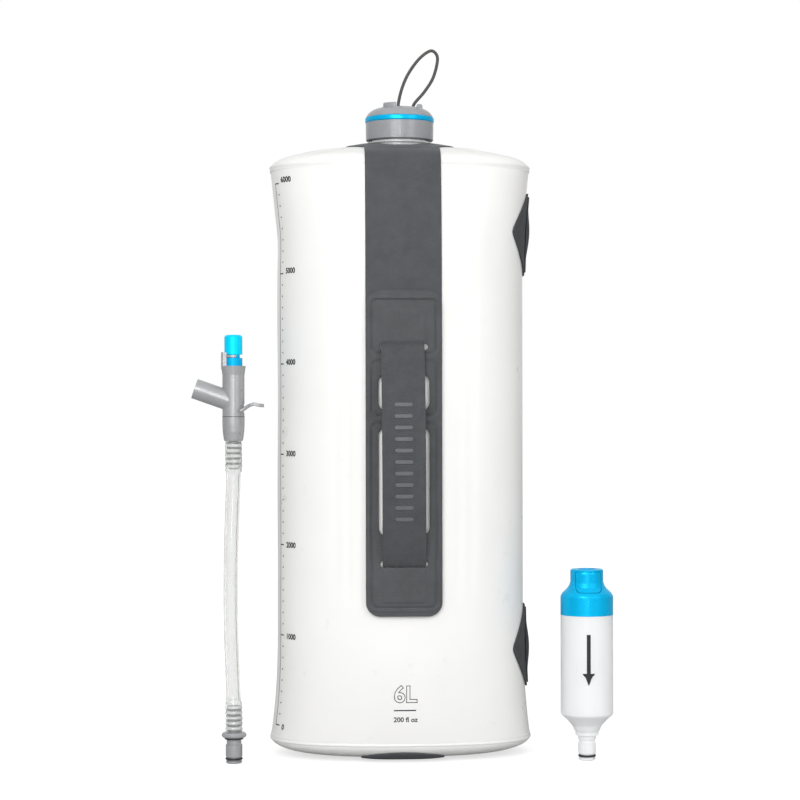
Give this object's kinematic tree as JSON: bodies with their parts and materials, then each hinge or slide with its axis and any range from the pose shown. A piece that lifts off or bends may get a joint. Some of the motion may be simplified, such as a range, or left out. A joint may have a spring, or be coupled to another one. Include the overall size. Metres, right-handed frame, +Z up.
{
  "type": "hydration bladder",
  "caption": "Standing film water bag with a screw cap and pull cord, carry straps, gear loops, a drink hose with a tap and an in-line fibre filter.",
  "frame": {"origin": "centre of the flat underside of the base strap, on the ground", "axes": "+Z up through the neck, -Y towards the front pad and the filter's button, +X towards the gear loops"},
  "size_m": [0.2837, 0.1406, 0.4853],
  "materials": {
    "film": "milky translucent film, satin",
    "clear_plastic": "clear, polished",
    "webbing": "fine slate-grey weave, coated",
    "loop_webbing": "fine charcoal weave, coated",
    "grey_plastic": "moulded, satin",
    "blue_plastic": "moulded, glossy cyan-blue",
    "seal_rubber": "smooth",
    "cord": "braided sheath",
    "tube": "clear soft tube",
    "steel": "drawn",
    "frosted_plastic": "frosted clear",
    "fibres": "white hollow fibres",
    "potting": "cast resin"
  },
  "bodies": {
    "bag": {"body_wall": "film", "top_panel": "film", "base_panel": "film", "neck": "clear_plastic", "neck_collar": "clear_plastic", "neck_patch": "webbing", "front_strap": "webbing", "rear_strap": "webbing", "base_strap": "webbing", "front_pad": "webbing", "rear_pad": "webbing", "front_handle": "webbing", "rear_handle": "webbing", "upper_loop_patch": "loop_webbing", "upper_loop_tab": "loop_webbing", "lower_loop_patch": "loop_webbing", "lower_loop_tab": "loop_webbing"},
    "cap_seal": {"cap_gasket": "seal_rubber"},
    "cap": {"cap_shell": "grey_plastic", "cap_ring": "blue_plastic"},
    "plug": {"port_plug": "grey_plastic", "port_oring": "seal_rubber", "cap_cord": "cord"},
    "hose": {"hose_plug": "grey_plastic", "hose_plug_oring": "seal_rubber", "hose_plug_gasket": "seal_rubber", "hose_tube": "tube", "tap_collar": "grey_plastic", "tap_body": "grey_plastic", "tap_lever_pin": "steel"},
    "lever": {"tap_lever": "grey_plastic"},
    "valve": {"tap_core": "seal_rubber"},
    "knob": {"flow_knob": "blue_plastic"},
    "filter": {"filter_housing": "frosted_plastic", "filter_plug_oring": "seal_rubber", "filter_fibres": "fibres", "filter_potting": "potting", "filter_foot_disc": "potting", "filter_cap": "blue_plastic", "filter_cap_seal": "seal_rubber", "filter_inlet_oring": "seal_rubber", "filter_button_spring": "steel"},
    "button": {"filter_button": "blue_plastic"}
  },
  "joints": [
    {"name": "cap_lift", "type": "slide", "parent": "bag", "child": "cap_seal", "axis": [0, 0, 1], "range_m": [0, 0.01]},
    {"name": "cap_turn", "type": "hinge", "parent": "cap_seal", "child": "cap", "pos_m": [0, 0, 0.438], "axis": [0, 0, 1], "range_deg": [0, 900]},
    {"name": "plug_pull", "type": "slide", "parent": "cap", "child": "plug", "axis": [0, 0, 1], "range_m": [0, 0.014]},
    {"name": "hose_lift", "type": "slide", "parent": "bag", "child": "hose", "axis": [0, 0, 1], "range_m": [0, 0.06]},
    {"name": "lever_press", "type": "hinge", "parent": "hose", "child": "lever", "pos_m": [-0.108, -0.04, 0.2366], "axis": [0, 1, 0], "range_deg": [0, 14]},
    {"name": "valve_open", "type": "slide", "parent": "hose", "child": "valve", "axis": [0, 0, 1], "range_m": [0, 0.0015]},
    {"name": "knob_turn", "type": "hinge", "parent": "hose", "child": "knob", "pos_m": [-0.1136, -0.04, 0.27], "axis": [0, 0, 1], "range_deg": [0, 180]},
    {"name": "filter_lift", "type": "slide", "parent": "bag", "child": "filter", "axis": [0, 0, 1], "range_m": [0, 0.06]},
    {"name": "button_press", "type": "slide", "parent": "filter", "child": "button", "axis": [0, 1, 0], "range_m": [0, 0.0015], "stiffness_N_per_m": 800}
  ],
  "couplings": [
    {"joint": "cap_turn", "follows": "cap_lift", "rad_per_m": 1570.7},
    {"joint": "lever_press", "follows": "valve_open", "rad_per_m": 162.8}
  ]
}
